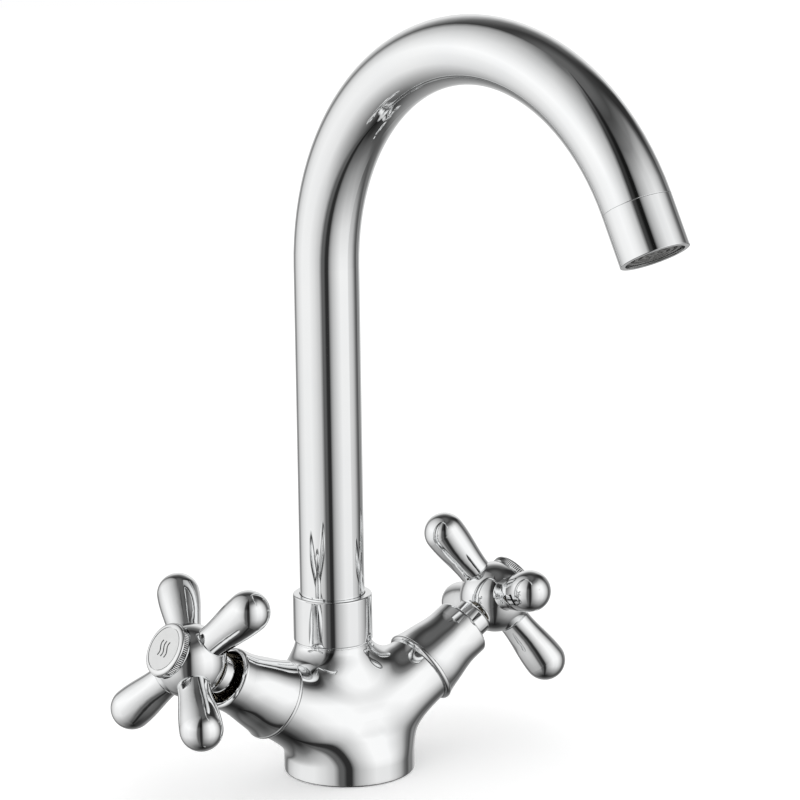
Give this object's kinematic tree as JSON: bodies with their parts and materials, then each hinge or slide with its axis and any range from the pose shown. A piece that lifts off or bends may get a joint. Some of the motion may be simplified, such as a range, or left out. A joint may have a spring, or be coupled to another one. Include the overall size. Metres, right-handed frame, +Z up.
{
  "type": "two handle kitchen faucet",
  "caption": "Deck mounted mixer faucet with a round star shaped body, a tall swan neck spout that swivels, and a cross handle on each side that turns a quarter turn ceramic valve.",
  "frame": {"origin": "centre of the foot's underside, on the deck", "axes": "+Z up, along the spout's stem; -Y to the front, where the spout points; +X to the cold side"},
  "size_m": [0.1801, 0.2053, 0.2851],
  "materials": {
    "chrome": "polished chrome plate",
    "index_face": "satin chrome",
    "brass": "turned brass",
    "steel": "bright steel",
    "rubber": "black rubber",
    "ceramic": "polished ceramic",
    "grey_plastic": "moulded grey plastic"
  },
  "bodies": {
    "root": {"body_casting": "chrome", "base_gasket": "rubber", "collar_nut": "chrome", "swivel_ring": "grey_plastic", "hot_shroud": "chrome", "hot_valve_housing": "brass", "hot_fixed_disc": "ceramic", "hot_seat_seal": "rubber", "cold_shroud": "chrome", "cold_valve_housing": "brass", "cold_fixed_disc": "ceramic", "cold_seat_seal": "rubber"},
    "spout": {"spout_tube": "chrome", "spout_ferrule": "brass", "spout_seals": "rubber", "nozzle_nipple": "brass", "aerator_shell": "chrome", "aerator_washer": "rubber", "aerator_insert": "grey_plastic", "aerator_screen": "steel"},
    "hot_handle": {"hot_handle_hub": "chrome", "hot_handle_arms": "chrome", "hot_index_ring": "chrome", "hot_index_disc": "index_face", "hot_handle_screw": "steel", "hot_spindle": "brass", "hot_moving_disc": "ceramic", "hot_spindle_seal": "rubber", "hot_spindle_clip": "steel"},
    "cold_handle": {"cold_handle_hub": "chrome", "cold_handle_arms": "chrome", "cold_index_ring": "chrome", "cold_index_disc": "index_face", "cold_handle_screw": "steel", "cold_spindle": "brass", "cold_moving_disc": "ceramic", "cold_spindle_seal": "rubber", "cold_spindle_clip": "steel"}
  },
  "joints": [
    {"name": "spout_swivel", "type": "hinge", "parent": "root", "child": "spout", "pos_m": [0, 0.00935, 0.0476], "axis": [0, 0, 1], "continuous": true},
    {"name": "hot_valve", "type": "hinge", "parent": "root", "child": "hot_handle", "pos_m": [-0.0685, 0, 0.05402], "axis": [-0.8563, 0, 0.5165], "range_deg": [0, 90]},
    {"name": "cold_valve", "type": "hinge", "parent": "root", "child": "cold_handle", "pos_m": [0.0685, 0, 0.05402], "axis": [0.8563, 0, 0.5165], "range_deg": [-90, 0]}
  ]
}
